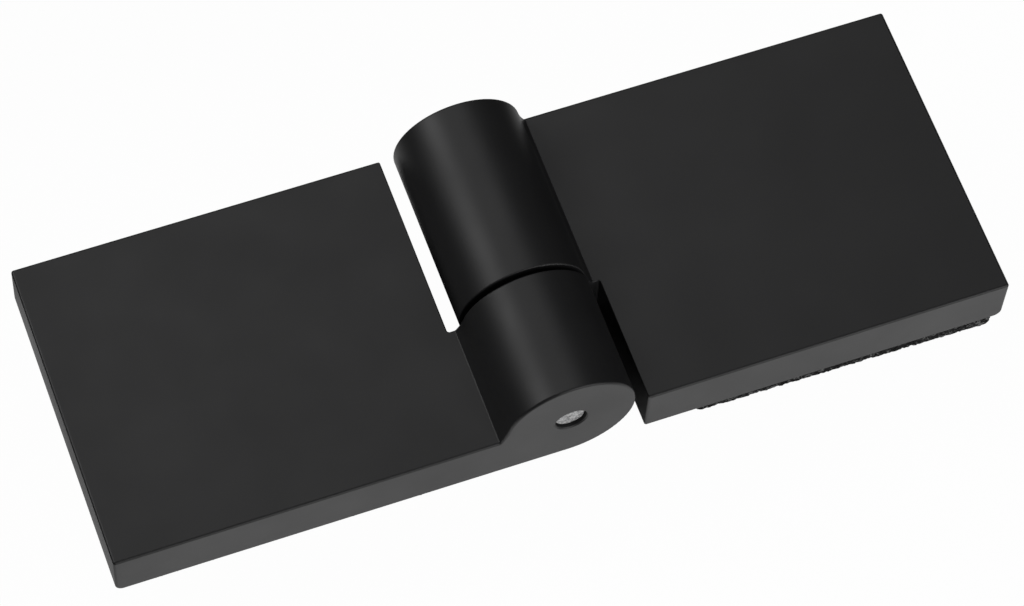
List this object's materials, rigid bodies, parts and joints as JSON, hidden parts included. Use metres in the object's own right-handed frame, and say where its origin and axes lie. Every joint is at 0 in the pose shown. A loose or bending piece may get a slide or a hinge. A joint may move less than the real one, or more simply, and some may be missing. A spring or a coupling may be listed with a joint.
{
  "type": "folding glass door hinge",
  "caption": "Folding door hinge for two glass panels: two thick flat leaves on a pin, one knuckle each, clamped through the glass by flush countersunk discs.",
  "frame": {"origin": "under the middle of the pin, on the plane of the clamp discs' faces, which is the far face of the glass", "axes": "+X across the hinge from the pin towards the right leaf, +Y along the pin from the left leaf's knuckle to the right leaf's, +Z out of the leaves' outer faces"},
  "size_m": [0.139, 0.05, 0.0305],
  "materials": {
    "black_coating": "matte black powder coating on brass",
    "pin_steel": "turned stainless steel",
    "screw_steel": "plain stainless steel",
    "bearing_plastic": "black acetal",
    "sleeve_plastic": "pale translucent polyethylene",
    "gasket": "dark grey speckled fibre and rubber sheet"
  },
  "bodies": {
    "fixed_leaf": {"left_leaf": "black_coating", "hinge_pin": "pin_steel", "pin_grub_screw": "screw_steel", "thrust_washer": "bearing_plastic", "left_gasket": "gasket", "left_inner_clamp_disc": "black_coating", "left_inner_glass_sleeve": "sleeve_plastic", "left_inner_clamp_screw": "screw_steel", "left_outer_clamp_disc": "black_coating", "left_outer_glass_sleeve": "sleeve_plastic", "left_outer_clamp_screw": "screw_steel"},
    "folding_leaf": {"right_leaf": "black_coating", "lower_bush": "bearing_plastic", "upper_bush": "bearing_plastic", "right_gasket": "gasket", "right_inner_clamp_disc": "black_coating", "right_inner_glass_sleeve": "sleeve_plastic", "right_inner_clamp_screw": "screw_steel", "right_outer_clamp_disc": "black_coating", "right_outer_glass_sleeve": "sleeve_plastic", "right_outer_clamp_screw": "screw_steel"}
  },
  "joints": [
    {"name": "fold", "type": "hinge", "parent": "fixed_leaf", "child": "folding_leaf", "pos_m": [0, 0, 0.0205], "axis": [0, -1, 0], "range_deg": [0, 180]}
  ]
}
